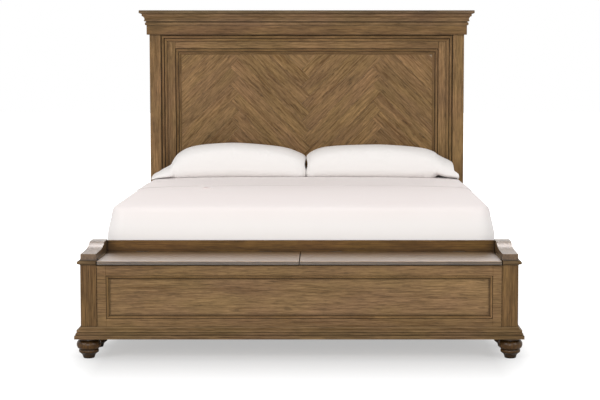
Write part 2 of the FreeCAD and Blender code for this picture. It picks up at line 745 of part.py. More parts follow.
def outer_edges(shape, wall_y):
    """Edges of a board that don't lie on the plane against the wall."""
    return [edge for edge in shape.Edges if min(vertex.Y for vertex in edge.Vertexes) < wall_y - arris]


# Bedding

def rounded_rectangle(half_x, half_y, corner, middle_y, height):
    """A level ring of points whose corners are rounded in a few flats."""
    points = []
    centres = ((1, 1), (-1, 1), (-1, -1), (1, -1))
    for quarter, (sign_x, sign_y) in enumerate(centres):
        centre = Vector(sign_x * (half_x - corner), middle_y + sign_y * (half_y - corner), height)
        for step in range(corner_flats + 1):
            turn = math.pi / 2 * (quarter + step / corner_flats)
            points.append(centre + Vector(corner * math.cos(turn), corner * math.sin(turn), 0))
    return points


def mattress_form(growth):
    """The mattress with its rounded edge and crowned top, swelled all round by growth."""
    y_low = bench_back_y + mattress_foot_gap
    y_high = head_y - mattress_head_gap
    half_x = rail_inner - mattress_side_gap
    half_y = (y_high - y_low) / 2
    middle_y = (y_low + y_high) / 2
    sections = []
    for rise_share, inset_share in mattress_form_shares:
        inset = inset_share * mattress_edge - growth
        height = slat_top + rise_share * (mattress_thickness + growth)
        corner = max(mattress_corner - inset * mattress_corner / half_x, mattress_edge)
        sections.append(rounded_rectangle(half_x - inset, half_y - inset, corner, middle_y, height))
    return loft(sections)


def mattress_and_sheet():
    save("mattress", mattress_form(0))
    below = block(-bench_width, bench_width, front_y, head_y + headboard_depth, 0, sheet_hem_height)
    save("sheet", mattress_form(sheet_growth).cut(mattress_form(rest_gap)).cut(below))


def pillow(flange_shares):
    """A filled pillow on the right of the bed, in a case whose flange runs on past the filling."""
    bottom = slat_top + mattress_thickness + sheet_growth + rest_gap
    middle_y = head_y - pillow_head_gap - pillow_depth / 2
    sections = []
    for along_share, depth_share, height_share in pillow_form_shares + flange_shares:
        x = pillow_gap / 2 + along_share * pillow_length
        half_y = depth_share * pillow_depth / 2
        tall = height_share * pillow_height
        ring = [Vector(x, middle_y + w * half_y, bottom + h * tall) for w, h in pillow_outline_shares]
        sections.append(ring)
    return loft(sections)


os.makedirs("parts", exist_ok=True)
bench_posts()
bench_ends()
bench_front()
bench_inside()
bench_mouldings()
bench_arms()
bench_lids()
bench_hinges()
bun_feet()
bed_rails()
slats_and_beam()
headboard_frame()
headboard_mouldings()
herringbone()
crown()
mattress_and_sheet()
save("pillow_right", pillow(right_flange_shares))
save("pillow_left", mirrored(pillow(left_flange_shares)))
print("pieces written:", len(os.listdir("parts")))
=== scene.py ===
from math import atan2, cos, exp, hypot, pi, radians, sin, sqrt

import bpy
import mathutils
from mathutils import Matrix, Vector


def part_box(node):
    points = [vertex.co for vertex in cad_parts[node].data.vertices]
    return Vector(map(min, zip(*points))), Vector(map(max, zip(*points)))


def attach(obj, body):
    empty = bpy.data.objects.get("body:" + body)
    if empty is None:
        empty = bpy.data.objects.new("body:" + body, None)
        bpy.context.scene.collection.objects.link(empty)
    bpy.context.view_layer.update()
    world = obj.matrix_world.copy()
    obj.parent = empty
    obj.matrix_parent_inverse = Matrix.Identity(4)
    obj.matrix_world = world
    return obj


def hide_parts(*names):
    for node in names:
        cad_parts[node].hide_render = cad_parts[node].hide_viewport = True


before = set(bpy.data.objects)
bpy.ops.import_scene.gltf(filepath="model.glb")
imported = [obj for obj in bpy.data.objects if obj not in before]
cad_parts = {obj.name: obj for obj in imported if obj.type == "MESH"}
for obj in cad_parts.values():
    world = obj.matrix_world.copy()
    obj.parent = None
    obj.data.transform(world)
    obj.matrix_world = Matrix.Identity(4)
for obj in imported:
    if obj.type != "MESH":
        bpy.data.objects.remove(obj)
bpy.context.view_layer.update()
print("frame loaded:", len(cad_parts), "nodes")


# Modelling helpers

def only(piece):
    # nothing but this piece is selected, and it is the active one
    bpy.ops.object.select_all(action="DESELECT")
    piece.select_set(True)
    bpy.context.view_layer.objects.active = piece


def finished(name):
    # the piece just modelled gets its name, with its place in its mesh
    piece = bpy.context.object
    piece.name = name
    piece.data.name = name
    only(piece)
    bpy.ops.object.transform_apply(location=True, rotation=True, scale=True)
    return piece


def modify(piece, kind, **settings):
    # adds a modifier and applies it
    only(piece)
    modifier = piece.modifiers.new(kind.title(), kind)
    for key, value in settings.items():
        setattr(modifier, key, value)
    bpy.ops.object.modifier_apply(modifier=modifier.name)


def surface(name, rings, closed=True, caps=False):
    # a skin through rings of points, each ring with as many points as the next
    count = len(rings[0])
    points = [point for ring in rings for point in ring]
    faces = []
    for row in range(len(rings) - 1):
        for step in range(count if closed else count - 1):
            after = (step + 1) % count
            low, high = row * count, (row + 1) * count
            faces.append((low + step, low + after, high + after, high + step))
    if caps:
        faces.append(tuple(reversed(range(count))))
        faces.append(tuple(range((len(rings) - 1) * count, len(rings) * count)))
    mesh = bpy.data.meshes.new(name)
    mesh.from_pydata(points, [], faces)
    piece = bpy.data.objects.new(name, mesh)
    bpy.context.scene.collection.objects.link(piece)
    only(piece)
    bpy.ops.object.shade_smooth()
    return piece


def dress(piece, material):
    piece.data.materials.clear()
    piece.data.materials.append(material)


# Material helpers

def newMaterial(name):
    material = bpy.data.materials.new(name)
    material.use_nodes = True
    return material, material.node_tree, material.node_tree.nodes["Principled BSDF"]


def node(tree, kind, settings=None, **inputs):
    # adds a node. An input is a value or another node's output, and _ in its name is a space
    made = tree.nodes.new(kind)
    for key, value in (settings or {}).items():
        setattr(made, key, value)
    for key, value in inputs.items():
        socket = made.inputs[int(key[1:])] if key[1:].isdigit() else made.inputs[key.replace("_", " ")]
        if isinstance(value, bpy.types.NodeSocket):
            tree.links.new(value, socket)
        else:
            socket.default_value = value
    return made


def calc(tree, operation, first, second=0.0, third=0.0):
    made = node(tree, "ShaderNodeMath", {"operation": operation}, i0=first, i1=second, i2=third)
    return made.outputs[0]


def blended(tree, share, first, second, mode="MIX"):
    settings = {"data_type": "RGBA", "blend_type": mode}
    return node(tree, "ShaderNodeMix", settings, i0=share, i6=first, i7=second).outputs[2]


def ramp(tree, value, low, high, start=0.0, end=1.0):
    # maps low..high of a value to start..end, and holds it there outside
    made = node(tree, "ShaderNodeMapRange", None, Value=value, From_Min=low, From_Max=high,
                To_Min=start, To_Max=end)
    return made.outputs[0]


def noise(tree, vector, scale, detail=2.0, roughness=0.5, distortion=0.0):
    made = node(tree, "ShaderNodeTexNoise", None, Vector=vector, Scale=scale, Detail=detail,
                Roughness=roughness, Distortion=distortion)
    return made.outputs["Fac"]


def stretched(tree, vector, scale):
    return node(tree, "ShaderNodeMapping", None, Vector=vector, Scale=scale).outputs[0]


def objectSpace(tree):
    return node(tree, "ShaderNodeTexCoord").outputs["Object"]


def axesOf(tree, space):
    return node(tree, "ShaderNodeSeparateXYZ", None, Vector=space).outputs


# Wood finishes. Colours are linear, grain sizes in lines a metre, lengths in metres

walnut = {
    "dark": (0.54, 0.46, 0.34), "light": (1.36, 1.37, 1.42),    # shades of the grain, in shares of the finish
    "rings": 52.0, "wobble": 3.5, "stretch": 0.08, "figure": 0.2, "broad": (0.8, 8.0, 8.0),
    "streaks": 90.0, "streakRate": 5.0, "fine": 260.0, "fineShades": (0.7, 1.26),
    "pores": (34.0, 850.0, 850.0), "poreDark": 0.7,
    "clouds": (5.0, 13.0, 13.0), "cloud": (0.88, 1.12),
    "tint": (3.0, 9.0, 9.0), "olive": (1.01, 1.02, 0.95, 1), "red": (1.0, 0.96, 1.02, 1),
    "flecks": (11.0, 60.0, 60.0), "fleckDark": 0.72,            # short dark marks that follow the grain
    "roughness": 0.5, "roughMore": 0.07, "roughLess": 0.05,     # duller and brighter along the fine grain
    "shine": 0.14, "coat": 0.0, "coatRoughness": 0.2, "bump": 0.14, "bumpDeep": 0.0012,
    "groove": 0.01, "grooveDark": 0.18,                         # painted shade that darkens quirks and tight corners
    "corner": 0.0, "cornerDark": 1.0,                           # wider painted shade, for pieces in a deep corner
    "nosing": None,     # painted shade on a front edge, darkening downwards: its heights, how dark, and where it ends behind
}
grainTurns = {"x": (0, 0, 0), "z": (0, pi / 2, 0), "y": (0, 0, -pi / 2)}


def grainSpace(tree, along):
    # object coordinates turned so that the grain runs along the first axis
    turn = grainTurns[along]
    return node(tree, "ShaderNodeMapping", None, Vector=objectSpace(tree), Rotation=turn).outputs[0]


def mitredSpace(tree, name):
    # grain along each run of a frame of moulding, changing over at its mitres
    low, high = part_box(name)
    axes = axesOf(tree, objectSpace(tree))
    fromSide = calc(tree, "SUBTRACT", high.x, calc(tree, "ABSOLUTE", axes["X"]))
    fromTop = calc(tree, "SUBTRACT", high.z, axes["Z"])
    fromBottom = calc(tree, "SUBTRACT", axes["Z"], low.z)
    upright = calc(tree, "LESS_THAN", fromSide, calc(tree, "MINIMUM", fromTop, fromBottom))
    spaces = grainSpace(tree, "x"), grainSpace(tree, "z")
    made = node(tree, "ShaderNodeMix", {"data_type": "VECTOR"}, i0=upright, i4=spaces[0], i5=spaces[1])
    return made.outputs[1]


def hollowShade(tree, distance, low, high, dark):
    # painted shade: dark in a hollow of about that size, and 1 on open faces
    sky = node(tree, "ShaderNodeAmbientOcclusion", {"samples": 6}, Distance=distance).outputs["AO"]
    return ramp(tree, sky, low, high, dark, 1.0)


def shaded(colour, shares):
    return tuple(part * share for part, share in zip(colour, shares)) + (1,)


def woodColour(tree, shader, wood, colour, space, plankShade=None):
    # figure, streaks and pores in grain space, then painted shade on the lid's front edge, in the grooves and
    # in deep corners
    rings = stretched(tree, space, (wood["stretch"], 1.0, 1.0))
    figure = node(tree, "ShaderNodeTexWave", {"wave_type": "RINGS", "rings_direction": "X"},
                  Vector=rings, Scale=wood["rings"], Distortion=wood["wobble"], Detail=3.0,
                  Detail_Scale=1.4, Detail_Roughness=0.6).outputs["Fac"]
    broad = noise(tree, stretched(tree, space, wood["broad"]), 1.0, 2.0, 0.5)
    long = wood["streakRate"]
    streak = noise(tree, stretched(tree, space, (long, wood["streaks"], wood["streaks"])), 1.0, 4.0, 0.6)
    fine = noise(tree, stretched(tree, space, (3 * long, wood["fine"], wood["fine"])), 1.0, 3.0, 0.6)
    cloud = noise(tree, stretched(tree, space, wood["clouds"]), 1.0, 3.0, 0.55)
    pore = noise(tree, stretched(tree, space, wood["pores"]), 1.0, 1.0, 0.5)
    rest = (1 - wood["figure"]) / 3
    tone = calc(tree, "MULTIPLY_ADD", ramp(tree, figure, 0.1, 0.95), wood["figure"],
                ramp(tree, broad, 0.3, 0.7, 0.0, rest))
    tone = calc(tree, "MULTIPLY_ADD", ramp(tree, streak, 0.3, 0.7), 2 * rest, tone)
    low, high = shaded(colour, wood["dark"]), shaded(colour, wood["light"])
    mixed = blended(tree, ramp(tree, tone, 0.12, 0.5), low, tuple(colour) + (1,))
    mixed = blended(tree, ramp(tree, tone, 0.48, 0.92), mixed, high)
    tint = noise(tree, stretched(tree, space, wood["tint"]), 1.0, 2.0, 0.5)
    tint = blended(tree, ramp(tree, tint, 0.35, 0.65), wood["red"], wood["olive"])
    mixed = blended(tree, 1.0, mixed, tint, "MULTIPLY")
    fleck = noise(tree, stretched(tree, space, wood["flecks"]), 1.0, 2.0, 0.6)
    shade = ramp(tree, fine, 0.32, 0.68, *wood["fineShades"])
    shade = calc(tree, "MULTIPLY", shade, ramp(tree, pore, 0.3, 0.42, wood["poreDark"], 1.0))
    shade = calc(tree, "MULTIPLY", shade, ramp(tree, fleck, 0.3, 0.37, wood["fleckDark"], 1.0))
    shade = calc(tree, "MULTIPLY", shade, ramp(tree, cloud, 0.3, 0.7, *wood["cloud"]))
    # painted shade: the lower part of the lid's rounded front edge is darkened, as if in its own shadow
    if wood["nosing"]:
        low, high, dark, fade, end = wood["nosing"]
        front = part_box("lid_left")[0].y
        axes = axesOf(tree, objectSpace(tree))
        edge = calc(tree, "MAXIMUM", ramp(tree, axes["Z"], low, high, dark, 1.0),
                    ramp(tree, axes["Y"], front + fade, front + end))
        shade = calc(tree, "MULTIPLY", shade, edge)
    if plankShade is not None:
        shade = calc(tree, "MULTIPLY", shade, plankShade)
    # painted shade in the quirks and grooves, where the mouldings' own shadow falls
    grooveShade = hollowShade(tree, wood["groove"], 0.35, 1.0, wood["grooveDark"])
    shade = calc(tree, "MULTIPLY", shade, grooveShade)
    # painted shade in deep corners, such as where the arms meet the back board
    if wood["corner"]:
        deep = hollowShade(tree, wood["corner"], 0.3, 0.95, wood["cornerDark"])
        shade = calc(tree, "MULTIPLY", shade, deep)
    grey = node(tree, "ShaderNodeCombineXYZ", None, X=shade, Y=shade, Z=shade).outputs[0]
    tree.links.new(blended(tree, 1.0, mixed, grey, "MULTIPLY"), shader.inputs["Base Color"])
    height = calc(tree, "MULTIPLY_ADD", fine, 0.6, ramp(tree, pore, 0.3, 0.42, 0.0, 0.7))
    bump = node(tree, "ShaderNodeBump", None, Height=height, Strength=wood["bump"], Distance=wood["bumpDeep"])
    tree.links.new(bump.outputs[0], shader.inputs["Normal"])
    dull, bright = wood["roughness"] + wood["roughMore"], wood["roughness"] - wood["roughLess"]
    rough = ramp(tree, fine, 0.3, 0.7, dull, bright)
    tree.links.new(rough, shader.inputs["Roughness"])
    shader.inputs["Specular IOR Level"].default_value = wood["shine"]
    shader.inputs["Coat Weight"].default_value = wood["coat"]
    shader.inputs["Coat Roughness"].default_value = wood["coatRoughness"]


def woodMaterial(name, along, colour, **changes):
    # along is an axis, or the name of a mitred node
    material, tree, shader = newMaterial(name)
    space = grainSpace(tree, along) if along in grainTurns else mitredSpace(tree, along)
    woodColour(tree, shader, dict(walnut, **changes), colour, space)
    return material


# Herringbone planks: each finds its own place in the pattern, so that each has its own figure and shade
herringbone = {
    "plankLength": 0.642, "plankWidth": 0.078,
    "shift": 0.020,                     # how far beside the field's middle the legs meet
    "colour": (0.184, 0.108, 0.044), "shades": (0.93, 1.08),
    "spread": 3.7,                      # how far apart in the wood two planks are cut
    "wood": {"rings": 26.0, "wobble": 8.0, "stretch": 0.22, "figure": 0.24, "streaks": 95.0,
             "streakRate": 7.0, "grooveDark": 0.75, "cloud": (0.82, 1.17),
             "flecks": (14.0, 60.0, 60.0), "fleckDark": 0.62},
}


def plankMaterial(name, rising):
    # u runs along the rising planks and v along the falling ones
    long, wide = herringbone["plankLength"], herringbone["plankWidth"]
    low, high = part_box("herringbone_rising")
    middle = (low.z + high.z) / 2
    along = -(herringbone["shift"] + middle) / sqrt(2)
    across = -(middle - herringbone["shift"]) / sqrt(2)
    material, tree, shader = newMaterial(name)
    turned = node(tree, "ShaderNodeMapping", None, Vector=objectSpace(tree), Rotation=(0, pi / 4, 0),
                  Location=(along, 0, across))
    axes = axesOf(tree, turned.outputs[0])
    u, v = axes["X"], axes["Z"]
    start = wide if rising else wide - long
    leg = calc(tree, "SUBTRACT", u, v)
    leg = calc(tree, "FLOOR", calc(tree, "DIVIDE", calc(tree, "ADD", leg, start), 2 * long))
    if rising:
        course = calc(tree, "MULTIPLY_ADD", leg, long, v)
    else:
        course = calc(tree, "SUBTRACT", calc(tree, "SUBTRACT", u, long), calc(tree, "MULTIPLY", leg, long))
    course = calc(tree, "FLOOR", calc(tree, "DIVIDE", course, wide))
    plank = node(tree, "ShaderNodeCombineXYZ", None, X=leg, Y=course, Z=1.0 if rising else 2.0).outputs[0]
    random = node(tree, "ShaderNodeTexWhiteNoise", {"noise_dimensions": "3D"}, Vector=plank)
    far = node(tree, "ShaderNodeVectorMath", {"operation": "SCALE"}, i0=random.outputs["Color"],
               Scale=herringbone["spread"]).outputs[0]
    spots = (u, v) if rising else (v, u)
    space = node(tree, "ShaderNodeCombineXYZ", None, X=spots[0], Y=spots[1], Z=axes["Y"]).outputs[0]
    space = node(tree, "ShaderNodeVectorMath", {"operation": "ADD"}, i0=space, i1=far).outputs[0]
    shade = ramp(tree, random.outputs["Value"], 0.0, 1.0, *herringbone["shades"])
    wood = dict(walnut, **herringbone["wood"])
    woodColour(tree, shader, wood, herringbone["colour"], space, shade)
    return material


# Hidden woods, steel and rubber
quietGrain = {"grain": (2.0, 60.0, 60.0), "figure": (0.8, 9.0, 9.0), "bump": 0.1, "roughness": 0.6}
steel = {"scratches": (40.0, 900.0, 900.0), "roughness": (0.26, 0.42),
         "dark": (0.46, 0.45, 0.42, 1), "light": (0.6, 0.59, 0.57, 1)}
rubber = {"grit": 900.0, "dark": (0.02, 0.018, 0.016, 1), "light": (0.05, 0.045, 0.04, 1), "roughness": 0.75}


def plainWood(name, dark, light, along):
    # clear-sealed board or softwood
    material, tree, shader = newMaterial(name)
    space = grainSpace(tree, along)
    grain = noise(tree, stretched(tree, space, quietGrain["grain"]), 1.0, 4.0, 0.65, 0.4)
    figure = noise(tree, stretched(tree, space, quietGrain["figure"]), 1.0, 2.0, 0.5)
    tone = calc(tree, "MULTIPLY_ADD", figure, 0.5, calc(tree, "MULTIPLY", grain, 0.5))
    tree.links.new(blended(tree, ramp(tree, tone, 0.35, 0.65), dark, light), shader.inputs["Base Color"])
    bump = node(tree, "ShaderNodeBump", None, Height=grain, Strength=quietGrain["bump"], Distance=0.001)
    tree.links.new(bump.outputs[0], shader.inputs["Normal"])
    shader.inputs["Roughness"].default_value = quietGrain["roughness"]
    return material


def steelMaterial():
    material, tree, shader = newMaterial("zincPlate")
    scratch = noise(tree, stretched(tree, objectSpace(tree), steel["scratches"]), 1.0, 3.0, 0.6)
    tree.links.new(ramp(tree, scratch, 0.3, 0.7, *steel["roughness"]), shader.inputs["Roughness"])
    colour = blended(tree, ramp(tree, scratch, 0.3, 0.7), steel["dark"], steel["light"])
    tree.links.new(colour, shader.inputs["Base Color"])
    shader.inputs["Metallic"].default_value = 1.0
    return material


def rubberMaterial():
    material, tree, shader = newMaterial("bumperRubber")
    grit = noise(tree, objectSpace(tree), rubber["grit"], 2.0)
    tree.links.new(blended(tree, grit, rubber["dark"], rubber["light"]), shader.inputs["Base Color"])
    shader.inputs["Roughness"].default_value = rubber["roughness"]
    return material


# Cloths. Colours as above, threads in waves of the weave
percale = {"threads": 260.0, "bump": 0.25, "roughness": 0.85, "sheen": 0.15, "sheenRoughness": 0.5,
           "colour": (0.775, 0.752, 0.732, 1), "shade": (0.765, 0.74, 0.72, 1)}
sheetCloth = dict(percale, colour=(0.755, 0.697, 0.68, 1), shade=(0.745, 0.68, 0.662, 1),
                  side=(0.768, 0.741, 0.726, 1),        # painted light: the sides are whiter than the top, which is darker and pinker as under a warm light from above
                  between=(0.6, 0.705))                 # heights over which the painted light passes from the one to the other
quilting = dict(percale, threads=160.0, bump=0.4, colour=(0.78, 0.77, 0.75, 1), shade=(0.74, 0.73, 0.71, 1))


def clothMaterial(name, cloth):
    # plain weave that shows from close by, with soft uneven tone and a little sheen
    material, tree, shader = newMaterial(name)
    place = objectSpace(tree)
    waves = []
    for direction in ("X", "Y", "Z"):
        made = node(tree, "ShaderNodeTexWave", {"bands_direction": direction}, Vector=place,
                    Scale=cloth["threads"], Distortion=0.6, Detail=1.0)
        waves.append(made.outputs["Fac"])
    weave = calc(tree, "MULTIPLY", calc(tree, "ADD", waves[0], waves[1]), 0.5)
    weave = calc(tree, "MULTIPLY_ADD", waves[2], 0.5, weave)
    soft = noise(tree, place, 2.2, 3.0, 0.5)
    colour = blended(tree, ramp(tree, soft, 0.3, 0.7), cloth["shade"], cloth["colour"])
    # painted light: from the sides up to the top the sheet turns darker and pinker, for the warm light from
    # above
    if "side" in cloth:
        top = ramp(tree, axesOf(tree, place)["Z"], *cloth["between"])
        colour = blended(tree, top, cloth["side"], colour)
    tree.links.new(colour, shader.inputs["Base Color"])
    bump = node(tree, "ShaderNodeBump", None, Height=weave, Strength=cloth["bump"], Distance=0.0003)
    tree.links.new(bump.outputs[0], shader.inputs["Normal"])
    shader.inputs["Roughness"].default_value = cloth["roughness"]
    shader.inputs["Sheen Weight"].default_value = cloth["sheen"]
    shader.inputs["Sheen Roughness"].default_value = cloth["sheenRoughness"]
    return material


evenGrain = {"figure": 0.06, "streaks": 165.0, "streakRate": 6.0}      # quieter, for the bench's front

finishes = {
    "headboardUpright": woodMaterial("headboardUpright", "z", (0.184, 0.108, 0.044), cloud=(0.78, 1.22)),
    "headboardAcross": woodMaterial("headboardAcross", "x", (0.186, 0.11, 0.045), cloud=(0.84, 1.16)),
    "headboardBead": woodMaterial("headboardBead", "headboard_bead", (0.182, 0.107, 0.043), groove=0.008),
    "headboardTrim": woodMaterial("headboardTrim", "headboard_panel_trim", (0.182, 0.107, 0.043),
                                  groove=0.008),
    "frieze": woodMaterial("frieze", "x", (0.142, 0.08, 0.032), cloud=(0.78, 1.22)),
    "crown": woodMaterial("crown", "x", (0.166, 0.1, 0.047), grooveDark=0.3, cloud=(0.82, 1.18)),
    "crownCap": woodMaterial("crownCap", "x", (0.122, 0.08, 0.041), grooveDark=0.5, cloud=(0.82, 1.18)),
    "benchPost": woodMaterial("benchPost", "z", (0.125, 0.07, 0.025), cloud=(0.84, 1.16)),
    "benchRail": woodMaterial("benchRail", "x", (0.15, 0.088, 0.037), cloud=(0.92, 1.08), groove=0.003,
                              grooveDark=0.92, **evenGrain),
    "benchTrim": woodMaterial("benchTrim", "bench_panel_trim", (0.155, 0.09, 0.036), groove=0.008,
                              grooveDark=0.15),
    "benchPanel": woodMaterial("benchPanel", "x", (0.164, 0.098, 0.043), cloud=(0.91, 1.09), **evenGrain),
    "benchEnd": woodMaterial("benchEnd", "z", (0.155, 0.09, 0.036)),
    "beadWood": woodMaterial("beadWood", "x", (0.1, 0.062, 0.029)),
    "baseAcross": woodMaterial("baseAcross", "x", (0.142, 0.086, 0.037), grooveDark=0.3),
    "baseDeep": woodMaterial("baseDeep", "y", (0.142, 0.086, 0.037), grooveDark=0.3),
    # the lids, arms, back board and turned feet carry painted shade in their deep corners; the lids also on
    # their front edge
    "lidWood": woodMaterial("lidWood", "x", (0.18, 0.108, 0.048), roughness=0.4, shine=0.5, coat=1.0,
                            coatRoughness=0.34, nosing=(0.457, 0.4705, 0.08, 0.01, 0.016),
                            corner=0.16, cornerDark=0.4),
    "armWood": woodMaterial("armWood", "y", (0.115, 0.067, 0.028), shine=0.3, coat=0.5, coatRoughness=0.2,
                            corner=0.07, cornerDark=0.2),
    "backBoard": woodMaterial("backBoard", "x", (0.125, 0.064, 0.017), corner=0.05, cornerDark=0.4),
    "railWood": woodMaterial("railWood", "y", (0.165, 0.098, 0.042)),
    "turnedWood": woodMaterial("turnedWood", "z", (0.07, 0.033, 0.008), roughness=0.3, shine=0.25,
                               corner=0.06, cornerDark=0.3),
    "plankRising": plankMaterial("plankRising", True),
    "plankFalling": plankMaterial("plankFalling", False),
    "plywood": plainWood("plywood", (0.26, 0.18, 0.105, 1), (0.38, 0.28, 0.175, 1), "z"),
    "pineAcross": plainWood("pineAcross", (0.46, 0.32, 0.18, 1), (0.62, 0.47, 0.3, 1), "x"),
    "pineDeep": plainWood("pineDeep", (0.46, 0.32, 0.18, 1), (0.62, 0.47, 0.3, 1), "y"),
    "zincPlate": steelMaterial(),
    "bumperRubber": rubberMaterial(),
    "sheetCotton": clothMaterial("sheetCotton", sheetCloth),
    "caseCotton": clothMaterial("caseCotton", percale),
    "ticking": clothMaterial("ticking", quilting),
}
finishOf = {
    "headboardUpright": ["headboard_post_left", "headboard_post_right", "headboard_stile_left",
                         "headboard_stile_right"],
    "headboardAcross": ["headboard_top_rail", "headboard_cross_rail"],
    "headboardBead": ["headboard_bead"],
    "headboardTrim": ["headboard_panel_trim"],
    "frieze": ["frieze_beam"],
    "crown": ["crown_moulding"],
    "crownCap": ["crown_cap"],
    "benchPost": ["bench_post_front_left", "bench_post_front_right", "bench_post_rear_left",
                  "bench_post_rear_right"],
    "benchRail": ["bench_bottom_rail", "bench_top_rail", "bench_stile_left", "bench_stile_right"],
    "benchTrim": ["bench_panel_trim"],
    "benchPanel": ["bench_front_panel"],
    "benchEnd": ["bench_end_left", "bench_end_right"],
    "beadWood": ["bench_bead"],
    "baseAcross": ["base_moulding_front"],
    "baseDeep": ["base_moulding_side_left", "base_moulding_side_right"],
    "lidWood": ["lid_left", "lid_right"],
    "armWood": ["bench_arm_left", "bench_arm_right"],
    "backBoard": ["bench_back"],
    "railWood": ["side_rail_left", "side_rail_right"],
    "plankRising": ["herringbone_rising"],
    "plankFalling": ["herringbone_falling"],
    "plywood": ["bench_bottom", "bench_divider", "bench_end_liners", "headboard_backing",
                "headboard_lower_panel"],
    "pineAcross": ["slats"],
    "pineDeep": ["rail_cleats", "centre_beam", "beam_legs"],
    "zincPlate": ["hinge_fixed_leaves", "hinge_lid_leaves_left", "hinge_lid_leaves_right", "hinge_pins",
                  "rail_hook_plates", "post_catch_plates"],
    "bumperRubber": ["lid_bumpers"],
}
for finish, names in finishOf.items():
    for name in names:
        dress(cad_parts[name], finishes[finish])
print("finishes laid on", sum(len(names) for names in finishOf.values()), "nodes")


# Turned bun feet: a disc drawn up ring by ring, then smoothed and copied under each post
footTurning = {
    "sides": 32, "radius": 0.0585, "height": 0.101, "smoothing": 2,
    # radius and height as shares, from the floor up. Close pairs keep a fillet sharp
    "rings": [(0.39, 0.0), (0.44, 0.004), (0.475, 0.03), (0.5, 0.09), (0.52, 0.15), (0.62, 0.22),
              (0.745, 0.27), (0.79, 0.282), (0.815, 0.32), (0.822, 0.36), (0.815, 0.4), (0.785, 0.43),
              (0.765, 0.436), (0.765, 0.448), (0.81, 0.46), (0.91, 0.5), (0.975, 0.57), (1.0, 0.655),
              (0.985, 0.745), (0.92, 0.82), (0.84, 0.862), (0.785, 0.878), (0.765, 0.884), (0.765, 0.99),
              (0.76, 1.0)],
}


def turnedFoot():
    sides, rings = footTurning["sides"], footTurning["rings"]
    radius, height = footTurning["radius"], footTurning["height"]
    bpy.ops.object.select_all(action="DESELECT")
    bpy.ops.mesh.primitive_circle_add(vertices=sides, radius=rings[0][0] * radius, fill_type="NGON")
    bpy.ops.object.mode_set(mode="EDIT")
    for (narrow, low), (wide, high) in zip(rings, rings[1:]):
        rise = (high - low) * height
        bpy.ops.mesh.extrude_region_move(TRANSFORM_OT_translate={"value": (0, 0, rise)})
        grow = wide / narrow
        bpy.ops.transform.resize(value=(grow, grow, 1), center_override=(0, 0, high * height))
    bpy.ops.mesh.select_all(action="SELECT")
    bpy.ops.mesh.normals_make_consistent(inside=False)
    bpy.ops.object.mode_set(mode="OBJECT")
    foot = finished("footPattern")
    modify(foot, "SUBSURF", levels=footTurning["smoothing"], render_levels=footTurning["smoothing"])
    only(foot)
    bpy.ops.object.shade_smooth()
    return foot


def bunFeet():
    pattern = turnedFoot()
    for end in ("front", "rear"):
        for side in ("left", "right"):
            low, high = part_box("bun_foot_" + end + "_" + side)
            foot = pattern.copy()
            foot.data = pattern.data.copy()
            foot.name = "turnedFoot" + end.title() + side.title()
            bpy.context.scene.collection.objects.link(foot)
            foot.location = ((low.x + high.x) / 2, (low.y + high.y) / 2, 0)
            only(foot)
            bpy.ops.object.transform_apply(location=True)
            dress(foot, finishes["turnedWood"])
            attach(foot, "bed")
            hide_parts("bun_foot_" + end + "_" + side)
    bpy.data.objects.remove(pattern)


bunFeet()
print("bun feet turned")


# Mattress and sheets. All follow one form: a crowned top, a soft edge, and sides that swell a little
low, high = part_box("mattress")
bed = {
    "halfWide": (high.x - low.x) / 2, "halfLong": (high.y - low.y) / 2, "middle": (high.y + low.y) / 2,
    "bottom": low.z, "top": high.z,
    "border": 0.085, "crown": 0.0115, "flare": 0.011, "flareFrom": 0.06, "flareTo": 0.3,
    # inset from the side and drop from the top, from the border outwards and down
    "edge": [(0.085, 0.0115), (0.06, 0.0136), (0.044, 0.0156), (0.033, 0.0186), (0.0245, 0.0242),
             (0.0185, 0.033), (0.014, 0.046), (0.009, 0.075), (0.004, 0.11), (0.0, 0.15), (0.0, 0.321)],
    "skin": 0.001,                      # the ticking lies this far inside the form that the sheets follow
    "topShares": (0.03, 0.25, 0.5, 0.75, 0.92), "topCorner": 0.01, "edgeCorner": 0.012,
    "cornerSteps": 8, "sideSteps": 12,
}
bed["innerX"] = bed["halfWide"] - bed["border"]
bed["innerY"] = bed["halfLong"] - bed["border"]


def edgePath():
    # the edge as (length so far, distance out from the inner border, drop)
    path = []
    length = 0.0
    for inset, drop in bed["edge"]:
        out = bed["border"] - inset
        if path:
            length += hypot(out - path[-1][1], drop - path[-1][2])
        path.append((length, out, drop))
    return path


bedEdge = edgePath()


def overEdge(reach):
    # how far out and down a cloth point lies that reaches that far over the border
    for (l0, o0, d0), (l1, o1, d1) in zip(bedEdge, bedEdge[1:]):
        if reach <= l1:
            share = (reach - l0) / (l1 - l0)
            return o0 + (o1 - o0) * share, d0 + (d1 - d0) * share
    return bedEdge[-1][1:]


def swell(drop):
    # how far the sides stand out at that drop
    share = (drop - bed["flareFrom"]) / (bed["flareTo"] - bed["flareFrom"])
    return bed["flare"] * sin(pi * share) ** 2 if 0 < share < 1 else 0.0


def bedPoint(across, along, grow):
    # where a point of flat cloth lies on the mattress, grow above it. The cloth is measured from the middle
    beyondX, beyondY = max(abs(across) - bed["innerX"], 0.0), max(abs(along) - bed["innerY"], 0.0)
    sideX, sideY = (1 if across > 0 else -1), (1 if along > 0 else -1)
    if beyondX == 0 and beyondY == 0:
        flatness = (1 - (across / bed["innerX"]) ** 4) * (1 - (along / bed["innerY"]) ** 4)
        return across, bed["middle"] + along, bed["top"] - bed["crown"] * (1 - flatness) + grow
    out, drop = overEdge(max(beyondX, beyondY))
    angle = atan2(beyondY, beyondX)
    outX = cos(angle) * (out + grow + swell(drop)) if beyondX else 0.0
    outY = sin(angle) * (out + grow) if beyondY else 0.0
    x = sideX * (bed["innerX"] + outX) if beyondX else across
    y = bed["middle"] + (sideY * (bed["innerY"] + outY) if beyondY else along)
    return x, y, bed["top"] - drop + grow


